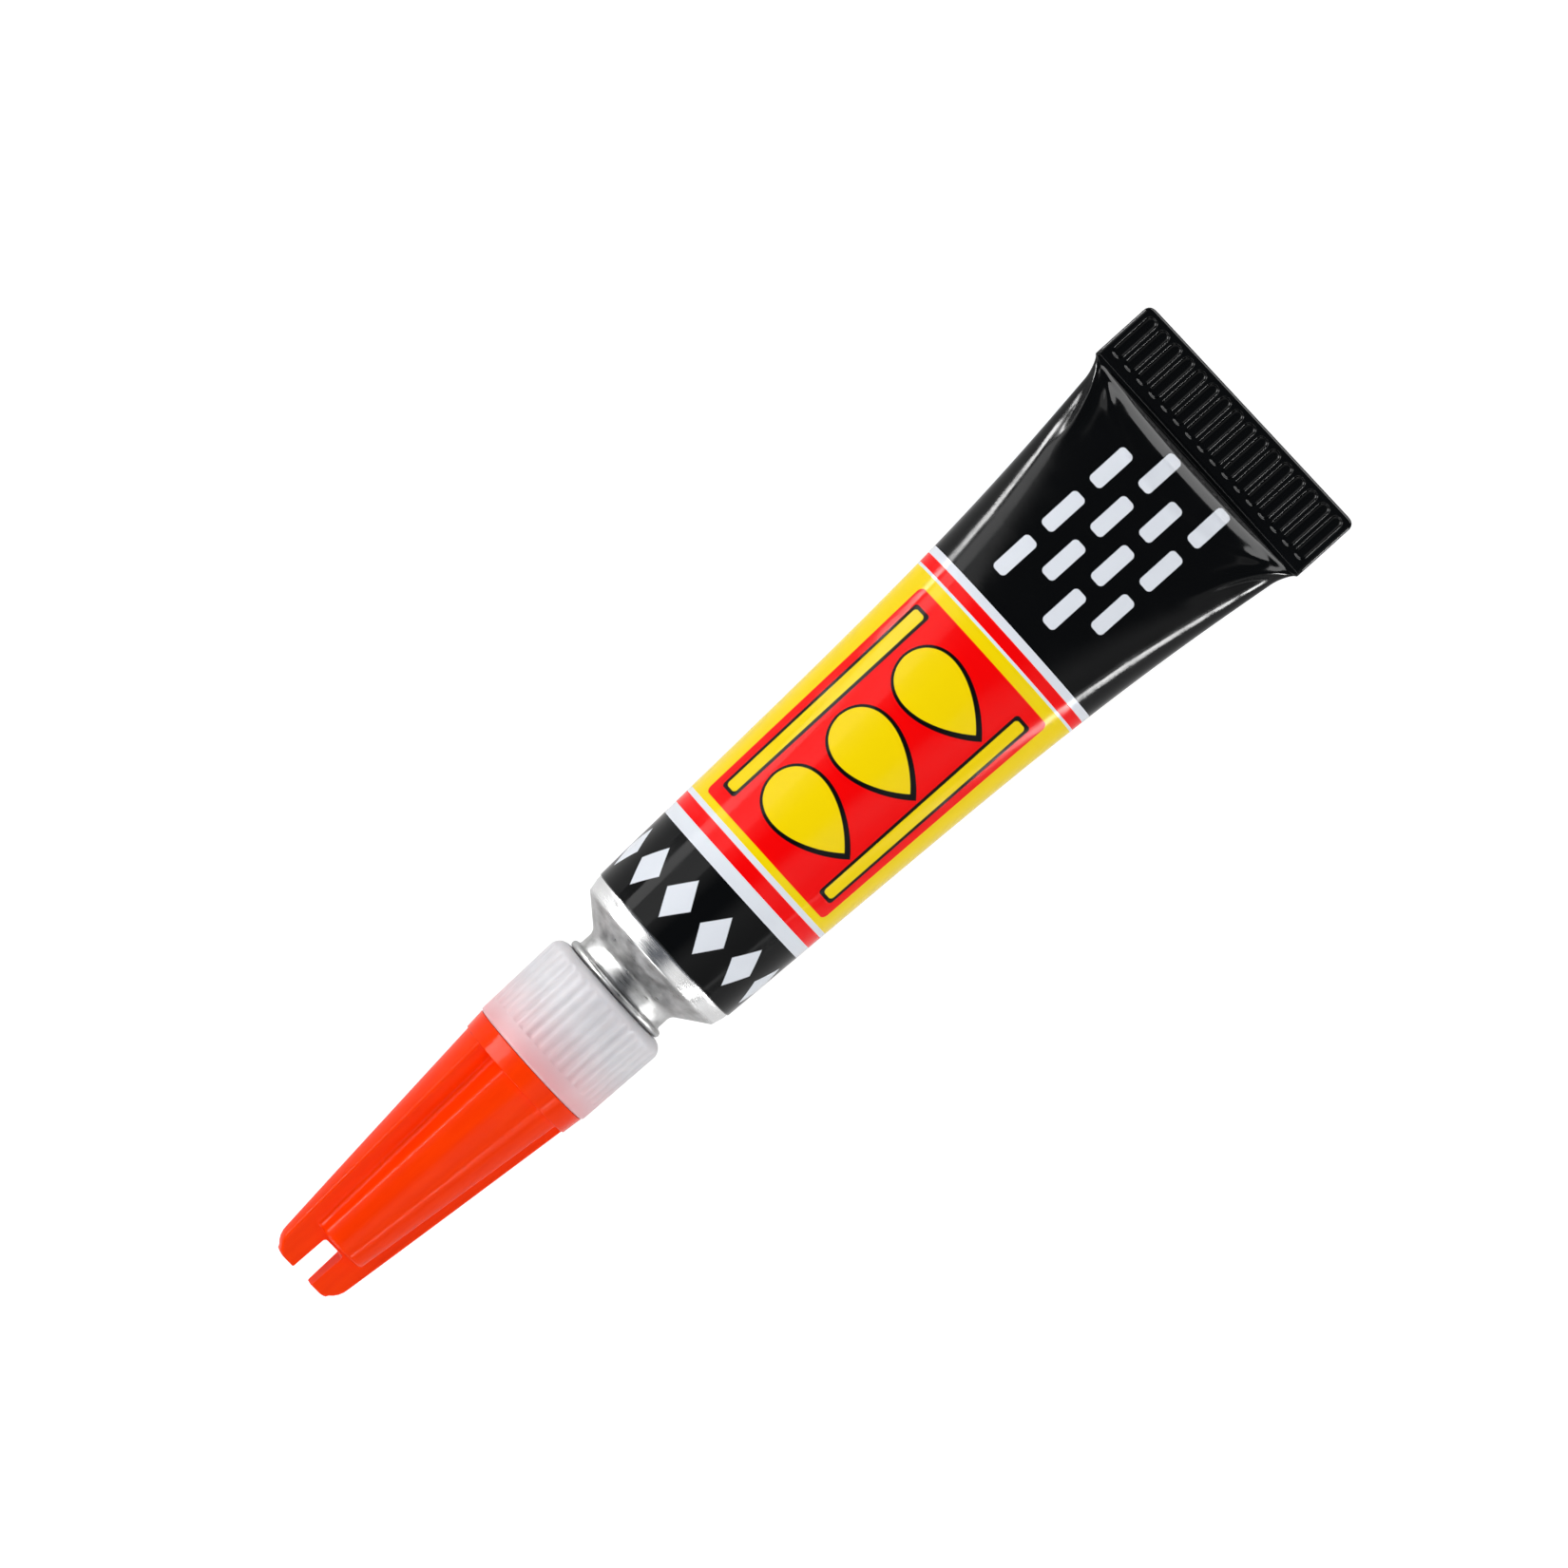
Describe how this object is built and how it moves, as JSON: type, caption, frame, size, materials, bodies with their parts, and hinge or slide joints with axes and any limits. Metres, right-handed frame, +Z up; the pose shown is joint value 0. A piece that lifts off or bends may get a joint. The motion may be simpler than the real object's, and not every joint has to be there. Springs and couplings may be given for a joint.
{
  "type": "super glue tube",
  "caption": "Collapsible aluminium glue tube with a folded and crimped tail, a fluted screw-on nozzle and a winged pull-off cap.",
  "frame": {"origin": "on the surface that the tube lies on, below the middle of its box", "axes": "+X along the tube from the cap to the crimped tail, +Y across the flat tail, +Z up, out of the printed face"},
  "size_m": [0.0908, 0.0214, 0.0131],
  "materials": {
    "printed_aluminium": "gloss enamel print over bare aluminium at the shoulder and neck",
    "latex": "matt",
    "liquid": "clear liquid",
    "natural_plastic": "translucent, semi-matt",
    "orange_plastic": "gloss",
    "steel": "bright"
  },
  "bodies": {
    "tube": {"tube": "printed_aluminium", "tail_sealant": "latex", "adhesive": "liquid"},
    "nozzle": {"nozzle": "natural_plastic"},
    "cap": {"cap": "orange_plastic", "cap_pin": "steel"}
  },
  "joints": [
    {"name": "nozzle_unscrew", "type": "hinge", "parent": "tube", "child": "nozzle", "pos_m": [-0.0195, 0, 0.00634], "axis": [-1, 0, 0], "range_deg": [0, 1710]},
    {"name": "cap_pull_off", "type": "slide", "parent": "nozzle", "child": "cap", "axis": [-1, 0, 0], "range_m": [0, 0.024]}
  ]
}
